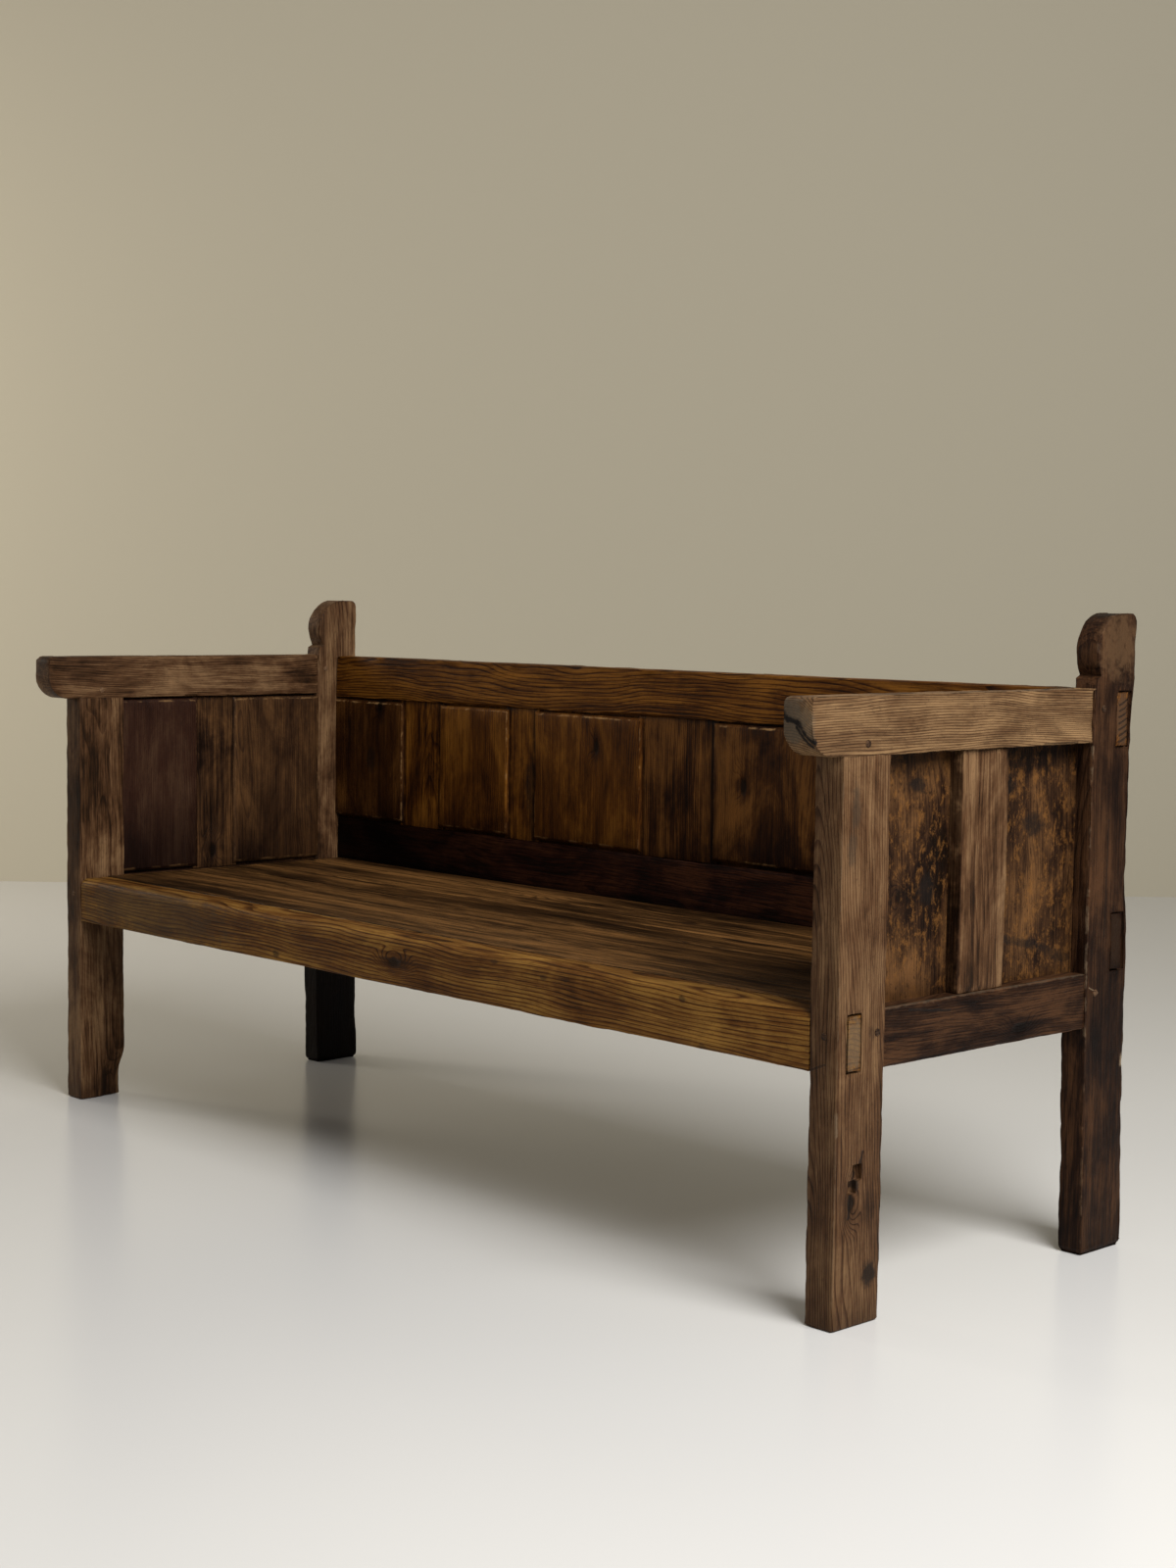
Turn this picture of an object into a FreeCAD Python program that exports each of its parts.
# Monks bench: a long settle of pegged mortise-and-tenon joinery.
# Four plank posts, two arms, a four-rail seat frame with lengthwise boards,
# and a framed back and two framed ends filled with lipped panels.
# +X runs along the bench, +Y towards its back, +Z up.
# The origin is on the floor, in the middle of the overall box.

import FreeCAD
import Part
import Sketcher
import math
import os

# Sizes in millimetres. Each is free to change by itself.
SIZES = {
    # overall
    "length": 1905,
    "depth": 656,
    "seat_height": 420,
    # front posts
    "front_post_width": 50,
    "front_post_depth": 96,
    "front_post_foot_round": 4,
    # back posts
    "back_post_width": 42,
    "back_post_depth": 92,
    "back_post_foot_round": 9,
    "foot_toe": 7,
    "heel": 15,
    "heel_step": 7,
    "heel_above_seat": 55,
    "waist_above_seat": 130,
    "waist_below_arm": 34,
    "post_lean": 7,
    "post_lean_back": 9,
    "neck_above_arm": 17,
    "head_rise": 34,
    "head_radius": 58,
    "head_corner": 12,
    # arms
    "arm_above_seat": 334,
    "arm_height": 79,
    "arm_overhang": 64,
    "arm_nose_low": 42,
    "arm_nose_high": 12,
    "arm_edge_round": 4,
    "arm_housing": 5,
    # seat frame
    "seat_rail_height": 82,
    "front_rail_thickness": 58,
    "front_rail_round": 15,
    "side_rail_thickness": 41,
    "side_rail_inset": 2,
    "side_rail_chamfer": 4,
    "back_rail_thickness": 46,
    # seat
    "board_thickness": 24,
    "front_board_width": 254,
    "middle_board_width": 87,
    "board_seam": 1.5,
    "board_edge_round": 1.5,
    "bearer_width": 56,
    "bearer_height": 40,
    "bearer_spacing": 455,
    "cleat_width": 30,
    # framed back
    "frame_thickness": 38,
    "top_rail_height": 84,
    "top_rail_drop": 2,
    "bottom_rail_above_seat": 83,
    "muntin_thickness": 34,
    "muntin_1_width": 133,
    "muntin_2_width": 95,
    "muntin_3_width": 196,
    "muntin_4_width": 109,
    "muntin_5_width": 104,
    "muntin_3_offset": 60,
    "panel_1_width": 204,
    "panel_2_width": 180,
    "panel_5_width": 151,
    "panel_6_width": 153,
    # framed ends
    "end_panel_inset": 28,
    "end_muntin_inset": 6,
    "end_muntin_width": 104,
    "end_muntin_from_post": 159,
    # panels
    "panel_lip": 5,
    "panel_core": 4,
    "panel_tongue": 8,
    "panel_lap": 12,
    "panel_bevel": 4,
    "panel_float": 2,
    "panel_foot_gap": 3,
    "groove_depth": 10,
    # tenons
    "through_tenon_inset": 21,
    "through_tenon_thickness": 27,
    "through_tenon_shoulder": 3,
    "back_tenon_cheek": 5,
    "back_tenon_thickness": 30,
    "bottom_tenon_height": 85,
    "side_tenon_thickness": 18,
    "side_tenon_shoulder": 9,
    "tenon_wall": 9,
    "arm_tenon_height": 47,
    "post_tenon_height": 45,
    "post_tenon_length": 54,
    "muntin_tenon_thickness": 12,
    "muntin_tenon_length": 24,
    "muntin_tenon_shoulder": 14,
    "seat_tenon_length": 26,
    "bearer_tenon_length": 14,
    # pegs
    "peg_diameter": 9,
    "peg_fit": 0.1,
    "peg_from_edge": 16,
    "peg_from_front": 24,
    "peg_below_seat": 31,
    "arm_peg_above_edge": 16,
    "arm_back_peg_above_edge": 50,
    # clearances
    "tenon_fit": 0.2,
    "groove_fit": 0.2,
}

doc = FreeCAD.newDocument("monks_bench")
sheet = doc.addObject("Spreadsheet::Sheet", "dims")
for row, (alias, number) in enumerate(SIZES.items(), start=1):
    sheet.set("A%d" % row, alias)
    sheet.set("B%d" % row, str(number))
    sheet.setAlias("B%d" % row, alias)
doc.recompute()


class Size:
    """A length: its value now, and the sheet formula that it follows."""

    def __init__(self, value, formula):
        self.value = float(value)
        self.formula = formula

    def __add__(self, other):
        other = as_size(other)
        return Size(self.value + other.value, "(%s + %s)" % (self.formula, other.formula))

    def __sub__(self, other):
        other = as_size(other)
        return Size(self.value - other.value, "(%s - %s)" % (self.formula, other.formula))

    def __mul__(self, number):
        return Size(self.value * number, "(%s * %s)" % (self.formula, number))

    def __truediv__(self, number):
        return Size(self.value / number, "(%s / %s)" % (self.formula, number))

    def __neg__(self):
        return Size(-self.value, "(0 - %s)" % self.formula)

    __radd__ = __add__

    def __rsub__(self, other):
        return as_size(other) - self


def as_size(thing):
    """Plain numbers take part in sums of sizes."""
    if isinstance(thing, Size):
        return thing
    return Size(thing, repr(float(thing)))


def dim(alias):
    """The size that one cell of the sheet holds."""
    return Size(getattr(sheet, alias), "dims." + alias)


# Places that several pieces share, all measured in the bench's own frame.
half = dim("length") / 2
front = (dim("arm_overhang") - dim("depth")) / 2
heel_back = front + dim("depth")
waist_back = heel_back - dim("heel")
post_front = waist_back - dim("back_post_depth")
seat = dim("seat_height")
rail_bottom = seat - dim("seat_rail_height")
board_bottom = seat - dim("board_thickness")
bottom_rail_top = seat + dim("bottom_rail_above_seat")
arm_bottom = seat + dim("arm_above_seat")
arm_top = arm_bottom + dim("arm_height")
neck = arm_top + dim("neck_above_arm")
top_rail_top = arm_top - dim("top_rail_drop")
top_rail_bottom = top_rail_top - dim("top_rail_height")
peg_z = seat - dim("peg_below_seat")
frame_face = waist_back - dim("frame_thickness")
panel_face = frame_face - dim("panel_lip")
tongue_front = frame_face + dim("panel_core")
tongue_back = tongue_front + dim("panel_tongue")
muntin_back = frame_face + dim("muntin_thickness")
post_inner = half - dim("back_post_width")
front_post_inner = half - dim("front_post_width")
front_post_back = front + dim("front_post_depth")
front_rail_back = front + dim("front_rail_thickness")
bearer_bottom = board_bottom - dim("bearer_height")
peg_radius = dim("peg_diameter") / 2
fit = dim("tenon_fit")

nodes = []


def new_body(label):
    """An empty piece of wood with a name of its own."""
    body = doc.addObject("PartDesign::Body", label)
    body.Label = label
    nodes.append(body)
    return body


def sketch_on(body, name, role, offset):
    """A sketch on one of the piece's own planes, moved out along its normal."""
    sketch = body.newObject("Sketcher::SketchObject", name)
    planes = [plane for plane in body.Origin.OriginFeatures if plane.Role == role]
    sketch.AttachmentSupport = [(planes[0], "")]
    sketch.MapMode = "FlatFace"
    sketch.AttachmentOffset = FreeCAD.Placement(
        FreeCAD.Vector(0, 0, offset.value), FreeCAD.Rotation())
    sketch.setExpression("AttachmentOffset.Base.z", offset.formula)
    return sketch


def pin(sketch, kind, geometry, point, size):
    """Hold one coordinate of a sketch point at a size."""
    constraint = Sketcher.Constraint(kind, -1, 1, geometry, point, size.value)
    index = sketch.addConstraint(constraint)
    sketch.setExpression("Constraints[%d]" % index, size.formula)


def polygon(sketch, points):
    """A closed outline of straight lines with every corner held."""
    corners = [FreeCAD.Vector(u.value, v.value, 0) for u, v in points]
    count = len(corners)
    for number in range(count):
        line = Part.LineSegment(corners[number], corners[(number + 1) % count])
        sketch.addGeometry(line, False)
    for number in range(count):
        following = (number + 1) % count
        sketch.addConstraint(Sketcher.Constraint("Coincident", number, 2, following, 1))
    for number, (u, v) in enumerate(points):
        pin(sketch, "DistanceX", number, 1, u)
        pin(sketch, "DistanceY", number, 1, v)


def rectangle(sketch, across, up):
    """An upright rectangle between two sizes each way."""
    left, right = across
    low, high = up
    corners = [(left, low), (right, low), (right, high), (left, high)]
    for number, (u, v) in enumerate(corners):
        end_u, end_v = corners[(number + 1) % 4]
        start = FreeCAD.Vector(u.value, v.value, 0)
        end = FreeCAD.Vector(end_u.value, end_v.value, 0)
        sketch.addGeometry(Part.LineSegment(start, end), False)
    for number in range(4):
        following = (number + 1) % 4
        sketch.addConstraint(Sketcher.Constraint("Coincident", number, 2, following, 1))
    for number, kind in enumerate(("Horizontal", "Vertical", "Horizontal", "Vertical")):
        sketch.addConstraint(Sketcher.Constraint(kind, number))
    pin(sketch, "DistanceX", 0, 1, left)
    pin(sketch, "DistanceY", 0, 1, low)
    pin(sketch, "DistanceX", 1, 2, right)
    pin(sketch, "DistanceY", 1, 2, high)


def pad(body, name, sketch, length):
    """Raise a sketch along its normal."""
    feature = body.newObject("PartDesign::Pad", name)
    feature.Profile = sketch
    feature.Length = length.value
    feature.setExpression("Length", length.formula)
    return feature


def pocket(body, name, sketch, length):
    """Sink a sketch against its normal."""
    feature = body.newObject("PartDesign::Pocket", name)
    feature.Profile = sketch
    feature.Length = length.value
    feature.setExpression("Length", length.formula)
    return feature


def spans(*pairs):
    """Three ranges of sizes, whatever mixture of numbers and sizes came in."""
    return [(as_size(low), as_size(high)) for low, high in pairs]


def block(body, name, x, y, z):
    """Add a squared length of timber."""
    x, y, z = spans(x, y, z)
    sketch = sketch_on(body, name + "_outline", "XY_Plane", z[0])
    rectangle(sketch, x, y)
    return pad(body, name, sketch, z[1] - z[0])


def mortise(body, name, x, y, z):
    """Cut a squared hole, groove or notch."""
    x, y, z = spans(x, y, z)
    sketch = sketch_on(body, name + "_outline", "XY_Plane", z[1])
    rectangle(sketch, x, y)
    return pocket(body, name, sketch, z[1] - z[0])


def circle(sketch, u, v, radius):
    """A circle whose centre and radius follow sizes."""
    centre = FreeCAD.Vector(u.value, v.value, 0)
    sketch.addGeometry(Part.Circle(centre, FreeCAD.Vector(0, 0, 1), radius.value), False)
    pin(sketch, "DistanceX", 0, 3, u)
    pin(sketch, "DistanceY", 0, 3, v)
    index = sketch.addConstraint(Sketcher.Constraint("Radius", 0, radius.value))
    sketch.setExpression("Constraints[%d]" % index, radius.formula)


def bore_along_x(body, name, x, y, z):
    """A peg hole from one side of the piece to the other."""
    low, high = as_size(x[0]), as_size(x[1])
    sketch = sketch_on(body, name + "_outline", "YZ_Plane", high)
    circle(sketch, as_size(y), as_size(z), peg_radius + dim("peg_fit"))
    return pocket(body, name, sketch, high - low)


def bore_along_y(body, name, x, y, z):
    """A peg hole that runs back from the near end of the range."""
    low, high = as_size(y[0]), as_size(y[1])
    sketch = sketch_on(body, name + "_outline", "XZ_Plane", -low)
    circle(sketch, as_size(x), as_size(z), peg_radius + dim("peg_fit"))
    return pocket(body, name, sketch, high - low)


def soften(body, kind, name, size, chosen):
    """Round or chamfer the edges of the finished blank that the test picks."""
    doc.recompute()
    shape = body.Tip.Shape
    names = []
    for number, edge in enumerate(shape.Edges, start=1):
        if chosen(edge):
            names.append("Edge%d" % number)
    base = body.Tip
    feature = body.newObject("PartDesign::" + kind, name)
    feature.Base = (base, names)
    if kind == "Fillet":
        feature.Radius = size.value
        feature.setExpression("Radius", size.formula)
    else:
        feature.Size = size.value
        feature.setExpression("Size", size.formula)
    return feature


def near(value, size):
    """Whether a measured coordinate is at a size."""
    return abs(value - as_size(size).value) < 0.05


def edge_box(edge):
    """The low and high corners of an edge, as plain numbers."""
    box = edge.BoundBox
    return (box.XMin, box.YMin, box.ZMin), (box.XMax, box.YMax, box.ZMax)


def at_x(size):
    """Edges that lie all at one X."""
    def test(edge):
        low, high = edge_box(edge)
        return near(low[0], size) and near(high[0], size)
    return test


def at_y(size):
    """Edges that lie all at one Y."""
    def test(edge):
        low, high = edge_box(edge)
        return near(low[1], size) and near(high[1], size)
    return test


def at_z(size):
    """Edges that lie all at one Z."""
    def test(edge):
        low, high = edge_box(edge)
        return near(low[2], size) and near(high[2], size)
    return test


def all_of(*tests):
    """Edges that pass every test."""
    def test(edge):
        return all(single(edge) for single in tests)
    return test


def any_of(*tests):
    """Edges that pass at least one test."""
    def test(edge):
        return any(single(edge) for single in tests)
    return test


def from_end(side, near_size, far_size):
    """A range across one end frame, measured in from the bench's end."""
    near_size, far_size = as_size(near_size), as_size(far_size)
    if side > 0:
        return half - far_size, half - near_size
    return near_size - half, far_size - half


def at_end(side, size):
    """One place across an end frame, measured in from the bench's end."""
    if side > 0:
        return half - as_size(size)
    return as_size(size) - half


# Depths of the layers of an end frame, measured in from the end of the bench.
end_tongue_out = dim("end_panel_inset")
end_tongue_in = end_tongue_out + dim("panel_tongue")
end_core_in = end_tongue_in + dim("panel_core")
end_face_in = end_core_in + dim("panel_lip")
end_muntin_in = end_core_in
end_muntin_out = dim("end_muntin_inset")
end_muntin_front = front_post_back + dim("end_muntin_from_post")
end_muntin_back = end_muntin_front + dim("end_muntin_width")
side_rail_out = dim("side_rail_inset")
side_rail_in = side_rail_out + dim("side_rail_thickness")
side_rail_top = seat
side_tenon_out = (side_rail_out + side_rail_in - dim("side_tenon_thickness")) / 2
side_tenon_in = side_tenon_out + dim("side_tenon_thickness")
side_tenon_low = rail_bottom + dim("side_tenon_shoulder")
side_tenon_high = side_rail_top - dim("side_tenon_shoulder") - dim("groove_depth")
arm_tenon_out = (dim("back_post_width") - dim("side_tenon_thickness")) / 2
arm_tenon_in = arm_tenon_out + dim("side_tenon_thickness")
arm_tenon_low = arm_bottom + (dim("arm_height") - dim("arm_tenon_height")) / 2
arm_tenon_high = arm_tenon_low + dim("arm_tenon_height")
post_tenon_out = (dim("front_post_width") - dim("side_tenon_thickness")) / 2
post_tenon_in = post_tenon_out + dim("side_tenon_thickness")
post_tenon_front = front + (dim("front_post_depth") - dim("post_tenon_length")) / 2
post_tenon_back = post_tenon_front + dim("post_tenon_length")
post_shoulder = arm_bottom + dim("arm_housing")
post_tenon_top = post_shoulder + dim("post_tenon_height")
muntin_tenon_gap = (dim("muntin_tenon_thickness") - dim("panel_tongue")) / 2

# Through tenons, cut to the full width of their posts.
front_tenon_front = front + dim("through_tenon_inset")
front_tenon_back = front_tenon_front + dim("through_tenon_thickness")
front_tenon_low = rail_bottom + dim("through_tenon_shoulder")
front_tenon_high = seat - dim("through_tenon_shoulder")
back_tenon_back = waist_back - dim("back_tenon_cheek")
back_tenon_front = back_tenon_back - dim("back_tenon_thickness")
top_tenon_low = top_rail_bottom
top_tenon_high = top_rail_top - dim("through_tenon_shoulder")
bottom_tenon_high = bottom_rail_top
bottom_tenon_low = bottom_tenon_high - dim("bottom_tenon_height")

# The blind tenons stop short of the through tenons by a wall of solid wood.
front_blind_end = front_tenon_back + dim("tenon_wall")
back_blind_end = back_tenon_front - dim("tenon_wall")
front_peg_end = front_tenon_back + dim("tenon_wall") / 2

# The back seat rail lies in line with the through tenons above it.
back_seat_rail_back = back_tenon_back
back_seat_rail_front = back_seat_rail_back - dim("back_rail_thickness")
seat_tenon_low = rail_bottom + dim("side_tenon_shoulder")
seat_tenon_high = board_bottom - dim("side_tenon_shoulder")

# Heights and places of the pegs.
front_peg_y = front_post_back - dim("peg_from_edge")
back_peg_y = post_front + dim("peg_from_front")
arm_peg_z = arm_bottom + dim("arm_peg_above_edge")
arm_back_peg_z = arm_bottom + dim("arm_back_peg_above_edge")
arm_peg_y = front + dim("front_post_depth") / 2


# Front posts: planks on edge, with a stub tenon up into the arm.
def front_post(side, label):
    body = new_body(label)
    whole = from_end(side, 0, dim("front_post_width"))
    block(body, label + "_plank", whole, (front, front_post_back), (0, post_shoulder))
    soften(body, "Fillet", label + "_foot", dim("front_post_foot_round"), at_z(0))
    block(body, label + "_tenon",
          from_end(side, post_tenon_out, post_tenon_in),
          (post_tenon_front, post_tenon_back),
          (post_shoulder, post_tenon_top))
    mortise(body, label + "_front_rail_mortise", whole,
            (front_tenon_front - fit, front_tenon_back + fit),
            (front_tenon_low - fit, front_tenon_high + fit))
    mortise(body, label + "_side_rail_mortise",
            from_end(side, side_tenon_out - fit, side_tenon_in + fit),
            (front_blind_end - fit, front_post_back),
            (side_tenon_low - fit, side_tenon_high + fit))
    mortise(body, label + "_panel_groove",
            from_end(side, end_tongue_out - dim("groove_fit"), end_tongue_in + dim("groove_fit")),
            (front_post_back - dim("groove_depth"), front_post_back),
            (seat - dim("groove_depth"), post_shoulder))
    bore_along_x(body, label + "_side_peg_hole", whole, front_peg_y, peg_z)
    bore_along_x(body, label + "_arm_peg_hole", whole, arm_peg_y, arm_peg_z)
    bore_along_y(body, label + "_rail_peg_hole",
                 at_end(side, dim("front_post_width") / 2),
                 (front, front_peg_end), peg_z)
    return body


# Back posts: sawn to shape in side view, splayed at the heel, leaning back
# above the arm and ending in a rounded head over a cut neck.
def back_post(side, label):
    body = new_body(label)
    out_face, in_face = from_end(side, 0, dim("back_post_width"))
    sketch = sketch_on(body, label + "_side_view", "YZ_Plane", out_face)
    lean_front = post_front + dim("post_lean")
    lean_back = waist_back + dim("post_lean_back")
    centre_y = lean_front + dim("head_radius")
    centre_z = neck + dim("head_rise")
    head_top = centre_z + dim("head_radius")
    drop = dim("head_rise").value
    reach = math.sqrt(dim("head_radius").value ** 2 - drop ** 2)
    outline = [
        (post_front + dim("foot_toe"), as_size(0)),
        (heel_back, as_size(0)),
        (waist_back + dim("heel_step"), seat + dim("heel_above_seat")),
        (waist_back, seat + dim("waist_above_seat")),
        (waist_back, arm_bottom - dim("waist_below_arm")),
        (lean_back, arm_top),
        (lean_back, head_top),
    ]
    lower = [
        (lean_front, neck),
        (post_front, arm_bottom),
        (post_front, rail_bottom),
    ]
    neck_corner = FreeCAD.Vector(centre_y.value - reach, neck.value, 0)
    crown = FreeCAD.Vector(centre_y.value, head_top.value, 0)
    corners = [FreeCAD.Vector(u.value, v.value, 0) for u, v in outline]
    corners += [crown, neck_corner]
    corners += [FreeCAD.Vector(u.value, v.value, 0) for u, v in lower]
    count = len(corners)
    arc_number = len(outline)
    for number in range(count):
        following = corners[(number + 1) % count]
        if number == arc_number:
            centre = FreeCAD.Vector(centre_y.value, centre_z.value, 0)
            ring = Part.Circle(centre, FreeCAD.Vector(0, 0, 1), dim("head_radius").value)
            low_angle = math.atan2(-drop, -reach) + 2 * math.pi
            sketch.addGeometry(Part.ArcOfCircle(ring, math.pi / 2, low_angle), False)
        else:
            sketch.addGeometry(Part.LineSegment(corners[number], following), False)
    for number in range(count):
        following = (number + 1) % count
        sketch.addConstraint(Sketcher.Constraint("Coincident", number, 2, following, 1))
    for number, (u, v) in enumerate(outline):
        pin(sketch, "DistanceX", number, 1, u)
        pin(sketch, "DistanceY", number, 1, v)
    for number, (u, v) in enumerate(lower, start=arc_number + 2):
        pin(sketch, "DistanceX", number, 1, u)
        pin(sketch, "DistanceY", number, 1, v)
    pin(sketch, "DistanceX", arc_number, 3, centre_y)
    pin(sketch, "DistanceY", arc_number, 3, centre_z)
    pin(sketch, "DistanceX", arc_number, 1, centre_y)
    pin(sketch, "DistanceY", arc_number, 1, head_top)
    pin(sketch, "DistanceY", arc_number, 2, neck)
    pad(body, label + "_plank", sketch, in_face - out_face)

    soften(body, "Fillet", label + "_foot", dim("back_post_foot_round"), at_z(0))
    rear_corner = all_of(at_y(lean_back), at_z(head_top))
    soften(body, "Fillet", label + "_head_corner", dim("head_corner"), rear_corner)

    whole = from_end(side, 0, dim("back_post_width"))
    mortise(body, label + "_top_rail_mortise", whole,
            (back_tenon_front - fit, back_tenon_back + fit),
            (top_tenon_low - fit, top_tenon_high + fit))
    mortise(body, label + "_bottom_rail_mortise", whole,
            (back_tenon_front - fit, back_tenon_back + fit),
            (bottom_tenon_low - fit, bottom_tenon_high + fit))
    mortise(body, label + "_seat_rail_mortise",
            from_end(side, dim("back_post_width") - dim("seat_tenon_length") - fit,
                     dim("back_post_width")),
            (back_tenon_front - fit, back_tenon_back + fit),
            (seat_tenon_low - fit, seat_tenon_high + fit))
    mortise(body, label + "_side_rail_mortise",
            from_end(side, side_tenon_out - fit, side_tenon_in + fit),
            (post_front, back_blind_end + fit),
            (side_tenon_low - fit, side_tenon_high + fit))
    mortise(body, label + "_arm_mortise",
            from_end(side, arm_tenon_out - fit, arm_tenon_in + fit),
            (post_front, back_blind_end + fit),
            (arm_tenon_low - fit, arm_tenon_high + fit))
    mortise(body, label + "_end_panel_groove",
            from_end(side, end_tongue_out - dim("groove_fit"), end_tongue_in + dim("groove_fit")),
            (post_front, post_front + dim("groove_depth")),
            (seat - dim("groove_depth"), arm_bottom + dim("groove_depth")))
    mortise(body, label + "_back_panel_groove",
            from_end(side, dim("back_post_width") - dim("groove_depth"), dim("back_post_width")),
            (tongue_front - dim("groove_fit"), tongue_back + dim("groove_fit")),
            (bottom_rail_top - dim("groove_depth"),
             top_rail_bottom + dim("groove_depth")))
    bore_along_x(body, label + "_side_peg_hole", whole, back_peg_y, peg_z)
    bore_along_x(body, label + "_arm_peg_hole", whole, back_peg_y, arm_back_peg_z)
    return body


# Arms: deep rails with a rounded nose, housed over the front post and
# tenoned into the back post along its leaning face.
def arm(side, label):
    body = new_body(label)
    low, high = from_end(side, 0, dim("front_post_width"))
    lean_run = neck.value - arm_bottom.value
    lean_share = dim("arm_height").value / lean_run
    lean_formula = "(%s * (%s) / (%s))" % (
        dim("post_lean").formula, dim("arm_height").formula,
        (neck - arm_bottom).formula)
    lean_at_top = Size(dim("post_lean").value * lean_share, lean_formula)
    sketch = sketch_on(body, label + "_side_view", "YZ_Plane", low)
    nose = front - dim("arm_overhang")
    polygon(sketch, [
        (nose, arm_bottom),
        (post_front, arm_bottom),
        (post_front + lean_at_top, arm_top),
        (nose, arm_top),
    ])
    pad(body, label + "_rail", sketch, high - low)
    lower_nose = all_of(at_y(nose), at_z(arm_bottom))
    soften(body, "Fillet", label + "_lower_nose", dim("arm_nose_low"), lower_nose)
    upper_nose = all_of(at_y(nose), at_z(arm_top))
    soften(body, "Fillet", label + "_upper_nose", dim("arm_nose_high"), upper_nose)
    top_edges = all_of(at_z(arm_top), any_of(at_x(low), at_x(high)))
    soften(body, "Fillet", label + "_top_edges", dim("arm_edge_round"), top_edges)

    # The tenon starts at the foot of the slanting shoulder and so joins it everywhere.
    block(body, label + "_tenon",
          from_end(side, arm_tenon_out, arm_tenon_in),
          (post_front, back_blind_end), (arm_tenon_low, arm_tenon_high))
    mortise(body, label + "_post_housing",
            (low, high), (front, front_post_back), (arm_bottom, post_shoulder))
    mortise(body, label + "_post_mortise",
            from_end(side, post_tenon_out - fit, post_tenon_in + fit),
            (post_tenon_front - fit, post_tenon_back + fit),
            (post_shoulder, post_tenon_top + fit))
    mortise(body, label + "_panel_groove",
            from_end(side, end_tongue_out - dim("groove_fit"), end_tongue_in + dim("groove_fit")),
            (front_post_back - dim("groove_depth"), post_front + dim("post_lean")),
            (arm_bottom, arm_bottom + dim("groove_depth")))
    mortise(body, label + "_muntin_mortise",
            from_end(side, end_tongue_out - muntin_tenon_gap - fit,
                     end_tongue_in + muntin_tenon_gap + fit),
            (end_muntin_front + dim("muntin_tenon_shoulder") - fit,
             end_muntin_back - dim("muntin_tenon_shoulder") + fit),
            (arm_bottom, arm_bottom + dim("muntin_tenon_length") + fit))
    bore_along_x(body, label + "_front_peg_hole", (low, high), arm_peg_y, arm_peg_z)
    bore_along_x(body, label + "_back_peg_hole", (low, high), back_peg_y, arm_back_peg_z)
    return body


# Front seat rail: its worn top edge carries the knees, its tenons show as
# end grain on the outsides of the front posts.
def front_seat_rail(label):
    body = new_body(label)
    block(body, label + "_plank", (-front_post_inner, front_post_inner),
          (front, front_rail_back), (rail_bottom, seat))
    worn = all_of(at_y(front), at_z(seat))
    soften(body, "Fillet", label + "_worn_edge", dim("front_rail_round"), worn)
    for side, name in ((-1, "left"), (1, "right")):
        block(body, label + "_" + name + "_tenon",
              from_end(side, 0, dim("front_post_width")),
              (front_tenon_front, front_tenon_back),
              (front_tenon_low, front_tenon_high))
        bore_along_y(body, label + "_" + name + "_peg_hole",
                     at_end(side, dim("front_post_width") / 2),
                     (front, front_peg_end), peg_z)
    for number, place in enumerate(bearer_places(), start=1):
        mortise(body, label + "_bearer_%d_mortise" % number,
                (place - dim("bearer_width") / 2 - fit, place + dim("bearer_width") / 2 + fit),
                (front_rail_back - dim("bearer_tenon_length") - fit, front_rail_back),
                (bearer_bottom - fit, board_bottom))
    return body


def bearer_places():
    """Where the bearers cross under the seat, along the bench."""
    spacing = dim("bearer_spacing")
    return [-spacing, as_size(0), spacing]


# Side seat rails, grooved along the top for the end panels.
def side_rail(side, label):
    body = new_body(label)
    block(body, label + "_plank", from_end(side, side_rail_out, side_rail_in),
          (front_post_back, post_front), (rail_bottom, side_rail_top))
    outer = at_end(side, side_rail_out)
    worn = all_of(at_x(outer), at_z(side_rail_top))
    soften(body, "Chamfer", label + "_worn_edge", dim("side_rail_chamfer"), worn)
    for name, start, end in (
            ("front", front_blind_end, front_post_back),
            ("back", post_front, back_blind_end)):
        block(body, label + "_" + name + "_tenon",
              from_end(side, side_tenon_out, side_tenon_in), (start, end),
              (side_tenon_low, side_tenon_high))
    mortise(body, label + "_panel_groove",
            from_end(side, end_tongue_out - dim("groove_fit"), end_tongue_in + dim("groove_fit")),
            (front_post_back, post_front),
            (side_rail_top - dim("groove_depth"), side_rail_top))
    mortise(body, label + "_muntin_mortise",
            from_end(side, end_tongue_out - muntin_tenon_gap - fit,
                     end_tongue_in + muntin_tenon_gap + fit),
            (end_muntin_front + dim("muntin_tenon_shoulder") - fit,
             end_muntin_back - dim("muntin_tenon_shoulder") + fit),
            (side_rail_top - dim("muntin_tenon_length") - fit, side_rail_top))
    for name, place in (("front", front_peg_y), ("back", back_peg_y)):
        bore_along_x(body, label + "_" + name + "_peg_hole",
                     from_end(side, 0, dim("front_post_width")), place, peg_z)
    return body


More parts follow.
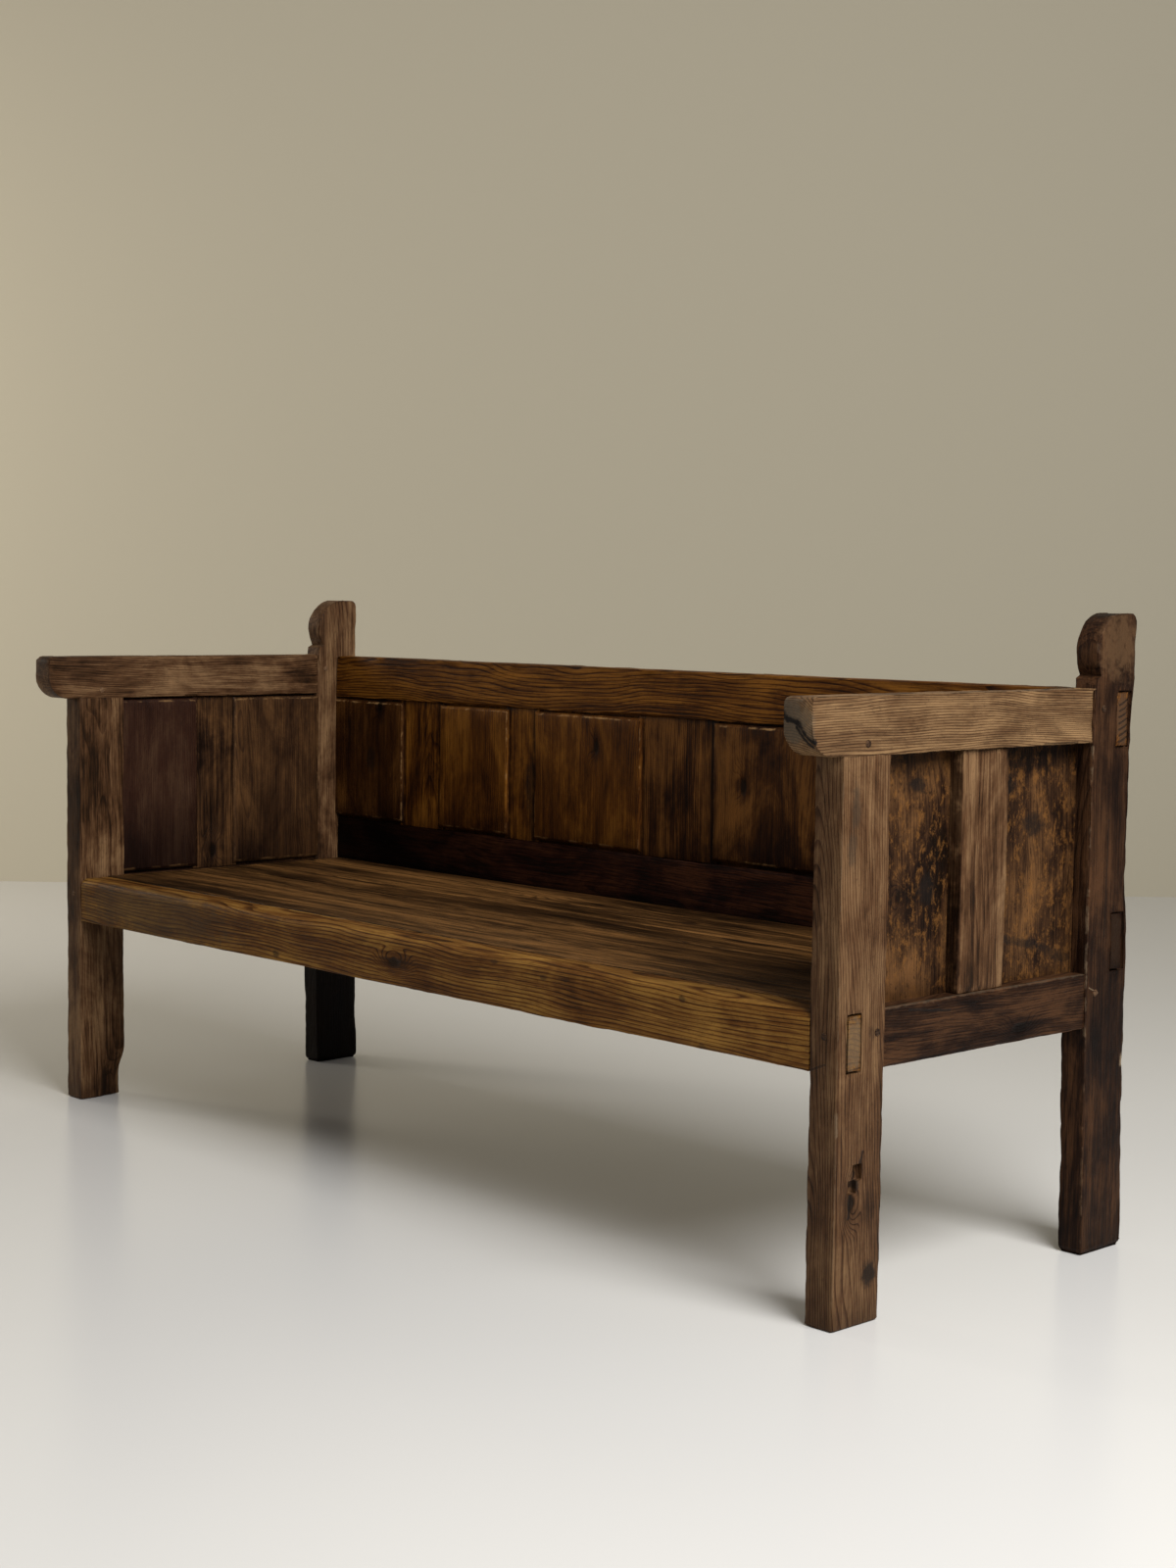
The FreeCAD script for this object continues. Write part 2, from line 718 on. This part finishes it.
# Back seat rail, hidden under the boards, with short tenons into the posts.
def back_seat_rail(label):
    body = new_body(label)
    block(body, label + "_plank", (-post_inner, post_inner),
          (back_seat_rail_front, back_seat_rail_back), (rail_bottom, board_bottom))
    for side, name in ((-1, "left"), (1, "right")):
        block(body, label + "_" + name + "_tenon",
              from_end(side, dim("back_post_width") - dim("seat_tenon_length"),
                       dim("back_post_width")),
              (back_tenon_front, back_tenon_back), (seat_tenon_low, seat_tenon_high))
    for number, place in enumerate(bearer_places(), start=1):
        mortise(body, label + "_bearer_%d_mortise" % number,
                (place - dim("bearer_width") / 2 - fit, place + dim("bearer_width") / 2 + fit),
                (back_seat_rail_front, back_seat_rail_front + dim("bearer_tenon_length") + fit),
                (bearer_bottom - fit, board_bottom))
    return body


# Back rails: each is grooved for the panels and mortised for the muntins.
def back_rail(label, face, z, tenon_z, groove_z, mortise_z):
    body = new_body(label)
    block(body, label + "_plank", (-post_inner, post_inner), (face, waist_back), z)
    for side, name in ((-1, "left"), (1, "right")):
        block(body, label + "_" + name + "_tenon",
              from_end(side, 0, dim("back_post_width")),
              (back_tenon_front, back_tenon_back), tenon_z)
    groove_end = post_inner + dim("groove_depth")
    mortise(body, label + "_panel_groove", (-groove_end, groove_end),
            (tongue_front - dim("groove_fit"), tongue_back + dim("groove_fit")), groove_z)
    for number, (low, high) in enumerate(muntin_spans(), start=1):
        shoulder = dim("muntin_tenon_shoulder")
        mortise(body, label + "_muntin_%d_mortise" % number,
                (low + shoulder - fit, high - shoulder + fit),
                (tongue_front - muntin_tenon_gap - fit, tongue_back + muntin_tenon_gap + fit),
                mortise_z)
    return body


def muntin_spans():
    """Left and right edges of the five muntins of the back.
    Two are set out from each post and one from the middle of the bench."""
    first = dim("panel_1_width") - post_inner
    first_end = first + dim("muntin_1_width")
    second = first_end + dim("panel_2_width")
    second_end = second + dim("muntin_2_width")
    third = dim("muntin_3_offset") - dim("muntin_3_width") / 2
    third_end = third + dim("muntin_3_width")
    fifth_end = post_inner - dim("panel_6_width")
    fifth = fifth_end - dim("muntin_5_width")
    fourth_end = fifth - dim("panel_5_width")
    fourth = fourth_end - dim("muntin_4_width")
    return [(first, first_end), (second, second_end), (third, third_end),
            (fourth, fourth_end), (fifth, fifth_end)]


# Back muntins: uprights with a stub tenon at each end and a groove down each edge.
def back_muntin(number, span):
    label = "back_muntin_%d" % number
    low, high = span
    body = new_body(label)
    block(body, label + "_plank", span, (frame_face, muntin_back),
          (bottom_rail_top, top_rail_bottom))
    shoulder = dim("muntin_tenon_shoulder")
    for name, z in (
            ("lower", (bottom_rail_top - dim("muntin_tenon_length"),
                       bottom_rail_top)),
            ("upper", (top_rail_bottom,
                       top_rail_bottom + dim("muntin_tenon_length")))):
        block(body, label + "_" + name + "_tenon", (low + shoulder, high - shoulder),
              (tongue_front - muntin_tenon_gap, tongue_back + muntin_tenon_gap), z)
    for name, x in (("left", (low, low + dim("groove_depth"))),
                    ("right", (high - dim("groove_depth"), high))):
        mortise(body, label + "_" + name + "_groove", x,
                (tongue_front - dim("groove_fit"), tongue_back + dim("groove_fit")),
                (bottom_rail_top, top_rail_bottom))
    return body


# Back panels: a tongue all round, a core that fills the opening, and a lip
# that laps the muntins on the sitting side. The lip's front edges are bevelled.
def back_panel(number, left, right, left_lap, right_lap):
    label = "back_panel_%d" % number
    low_z, high_z = bottom_rail_top, top_rail_bottom
    play = dim("panel_float")
    tongue = dim("groove_depth") - play
    body = new_body(label)
    block(body, label + "_tongue", (left - tongue, right + tongue),
          (tongue_front, tongue_back), (low_z - tongue, high_z + tongue))
    block(body, label + "_core", (left + fit, right - fit),
          (frame_face, tongue_front), (low_z + dim("panel_foot_gap"), high_z - play))
    block(body, label + "_lip", (left - left_lap, right + right_lap),
          (panel_face, frame_face), (low_z + dim("panel_foot_gap"), high_z - play))
    soften(body, "Chamfer", label + "_bevel", dim("panel_bevel"), at_y(panel_face))
    return body


# End muntins stand between the side rail and the arm.
def end_muntin(side, label):
    body = new_body(label)
    z = (side_rail_top, arm_bottom)
    block(body, label + "_plank", from_end(side, end_muntin_out, end_muntin_in),
          (end_muntin_front, end_muntin_back), z)
    shoulder = dim("muntin_tenon_shoulder")
    for name, tenon_z in (
            ("lower", (side_rail_top - dim("muntin_tenon_length"), side_rail_top)),
            ("upper", (arm_bottom, arm_bottom + dim("muntin_tenon_length")))):
        block(body, label + "_" + name + "_tenon",
              from_end(side, end_tongue_out - muntin_tenon_gap,
                       end_tongue_in + muntin_tenon_gap),
              (end_muntin_front + shoulder, end_muntin_back - shoulder), tenon_z)
    for name, y in (
            ("front", (end_muntin_front, end_muntin_front + dim("groove_depth"))),
            ("back", (end_muntin_back - dim("groove_depth"), end_muntin_back))):
        mortise(body, label + "_" + name + "_groove",
                from_end(side, end_tongue_out - dim("groove_fit"),
                         end_tongue_in + dim("groove_fit")), y, z)
    return body


# End panels: the same lipped panels turned to face in over the seat.
def end_panel(side, label, start, end, start_lap, end_lap):
    low_z, high_z = side_rail_top, arm_bottom
    play = dim("panel_float")
    tongue = dim("groove_depth") - play
    body = new_body(label)
    block(body, label + "_tongue", from_end(side, end_tongue_out, end_tongue_in),
          (start - tongue, end + tongue), (low_z - tongue, high_z + tongue))
    block(body, label + "_core", from_end(side, end_tongue_in, end_core_in),
          (start + fit, end - fit), (low_z + dim("panel_foot_gap"), high_z - play))
    block(body, label + "_lip", from_end(side, end_core_in, end_face_in),
          (start - start_lap, end + end_lap), (low_z + dim("panel_foot_gap"), high_z - play))
    soften(body, "Chamfer", label + "_bevel", dim("panel_bevel"), at_x(at_end(side, end_face_in)))
    return body


# Seat boards run the length of the bench. The front one is notched round the
# front posts, and the rear one meets the bottom rail of the back.
def seat_board(label, y, notched):
    body = new_body(label)
    end = post_inner - dim("board_seam")
    z = (board_bottom, seat)
    block(body, label + "_plank", (-end, end), y, z)
    long_edges = all_of(at_z(seat), any_of(at_y(y[0]), at_y(y[1])))
    soften(body, "Fillet", label + "_worn_edges", dim("board_edge_round"), long_edges)
    if notched:
        gap = dim("board_seam")
        mortise(body, label + "_left_notch", (-end, gap - front_post_inner),
                (y[0], front_post_back + gap), z)
        mortise(body, label + "_right_notch", (front_post_inner - gap, end),
                (y[0], front_post_back + gap), z)
    return body


# Bearers carry the boards between the front and back seat rails.
def seat_bearer(number, place):
    label = "seat_bearer_%d" % number
    body = new_body(label)
    half_width = dim("bearer_width") / 2
    block(body, label + "_batten", (place - half_width, place + half_width),
          (front_rail_back - dim("bearer_tenon_length"),
           back_seat_rail_front + dim("bearer_tenon_length")),
          (bearer_bottom, board_bottom))
    return body


# Cleats along the side rails carry the ends of the boards.
def seat_cleat(side, label):
    body = new_body(label)
    block(body, label + "_batten",
          from_end(side, side_rail_in, side_rail_in + dim("cleat_width")),
          (front_post_back, post_front), (bearer_bottom, board_bottom))
    return body


# Pegs: plain round pins, each a solid of its own, in one group for each joint.
def peg_group(label, pegs):
    members = []
    for number, (base, direction, length) in enumerate(pegs, start=1):
        pin_solid = doc.addObject("Part::Cylinder", "%s_%d" % (label, number))
        pin_solid.Radius = peg_radius.value
        pin_solid.setExpression("Radius", peg_radius.formula)
        pin_solid.Height = length.value
        pin_solid.setExpression("Height", length.formula)
        turn = FreeCAD.Rotation(FreeCAD.Vector(0, 0, 1), direction)
        start = FreeCAD.Vector(*[size.value for size in base])
        pin_solid.Placement = FreeCAD.Placement(start, turn)
        for axis, size in zip("xyz", base):
            pin_solid.setExpression("Placement.Base." + axis, size.formula)
        members.append(pin_solid)
    group = doc.addObject("Part::Compound", label)
    group.Label = label
    group.Links = members
    nodes.append(group)
    return group


along_x = FreeCAD.Vector(1, 0, 0)
along_y = FreeCAD.Vector(0, 1, 0)
sides = ((-1, "left"), (1, "right"))

for side, name in sides:
    front_post(side, "front_post_" + name)
for side, name in sides:
    back_post(side, "back_post_" + name)
for side, name in sides:
    arm(side, "arm_" + name)
front_seat_rail("front_seat_rail")
back_seat_rail("back_seat_rail")
for side, name in sides:
    side_rail(side, "side_rail_" + name)

back_rail("back_top_rail", panel_face,
          (top_rail_bottom, top_rail_top),
          (top_tenon_low, top_tenon_high),
          (top_rail_bottom, top_rail_bottom + dim("groove_depth")),
          (top_rail_bottom,
           top_rail_bottom + dim("muntin_tenon_length") + fit))
back_rail("back_bottom_rail", frame_face,
          (board_bottom, bottom_rail_top),
          (bottom_tenon_low, bottom_tenon_high),
          (bottom_rail_top - dim("groove_depth"), bottom_rail_top),
          (bottom_rail_top - dim("muntin_tenon_length") - fit,
           bottom_rail_top))

spans_of_muntins = muntin_spans()
for number, span in enumerate(spans_of_muntins, start=1):
    back_muntin(number, span)
panel_edges = [-post_inner]
for low, high in spans_of_muntins:
    panel_edges += [low, high]
panel_edges.append(post_inner)
last_panel = len(panel_edges) // 2
for number in range(1, last_panel + 1):
    left_lap = -fit if number == 1 else dim("panel_lap")
    right_lap = -fit if number == last_panel else dim("panel_lap")
    left, right = panel_edges[2 * number - 2], panel_edges[2 * number - 1]
    back_panel(number, left, right, left_lap, right_lap)

for side, name in sides:
    end_muntin(side, "end_muntin_" + name)
    end_panel(side, "end_panel_%s_front" % name,
              front_post_back, end_muntin_front, -fit, dim("panel_lap"))
    end_panel(side, "end_panel_%s_rear" % name,
              end_muntin_back, post_front, dim("panel_lap"), -fit)

board_start = front_rail_back + dim("board_seam")
front_board_end = board_start + dim("front_board_width")
middle_board_start = front_board_end + dim("board_seam")
middle_board_end = middle_board_start + dim("middle_board_width")
rear_board_start = middle_board_end + dim("board_seam")
seat_board("seat_board_front", (board_start, front_board_end), True)
seat_board("seat_board_middle", (middle_board_start, middle_board_end), False)
seat_board("seat_board_rear", (rear_board_start, frame_face - fit), False)
for number, place in enumerate(bearer_places(), start=1):
    seat_bearer(number, place)
for side, name in sides:
    seat_cleat(side, "seat_cleat_" + name)

peg_group("front_rail_pegs", [
    ((at_end(side, dim("front_post_width") / 2), front, peg_z),
     along_y, front_peg_end - front) for side, name in sides])
peg_group("side_rail_pegs", [
    ((from_end(side, 0, width)[0], place, peg_z), along_x, width)
    for side, name in sides
    for place, width in ((front_peg_y, dim("front_post_width")),
                         (back_peg_y, dim("back_post_width")))])
peg_group("arm_pegs", [
    ((from_end(side, 0, width)[0], place, height), along_x, width)
    for side, name in sides
    for place, height, width in (
        (arm_peg_y, arm_peg_z, dim("front_post_width")),
        (back_peg_y, arm_back_peg_z, dim("back_post_width")))])

doc.recompute()

# Nothing is written unless every object and every piece is sound.
for item in doc.Objects:
    for state in item.State:
        if state in ("Invalid", "Error"):
            raise RuntimeError("%s is %s" % (item.Name, state))
for node in nodes:
    if node.Shape.isNull() or not node.Shape.isValid():
        raise RuntimeError("%s has no sound shape" % node.Label)
    if node.TypeId == "PartDesign::Body" and len(node.Shape.Solids) != 1:
        raise RuntimeError("%s is not one solid" % node.Label)

os.makedirs("parts", exist_ok=True)
for node in nodes:
    node.Shape.exportStep("parts/%s.step" % node.Label)
    box = node.Shape.BoundBox
    print("%-24s %8.1f %8.1f %8.1f  volume %.0f" % (
        node.Label, box.XLength, box.YLength, box.ZLength, node.Shape.Volume))
print("pieces", len(nodes))
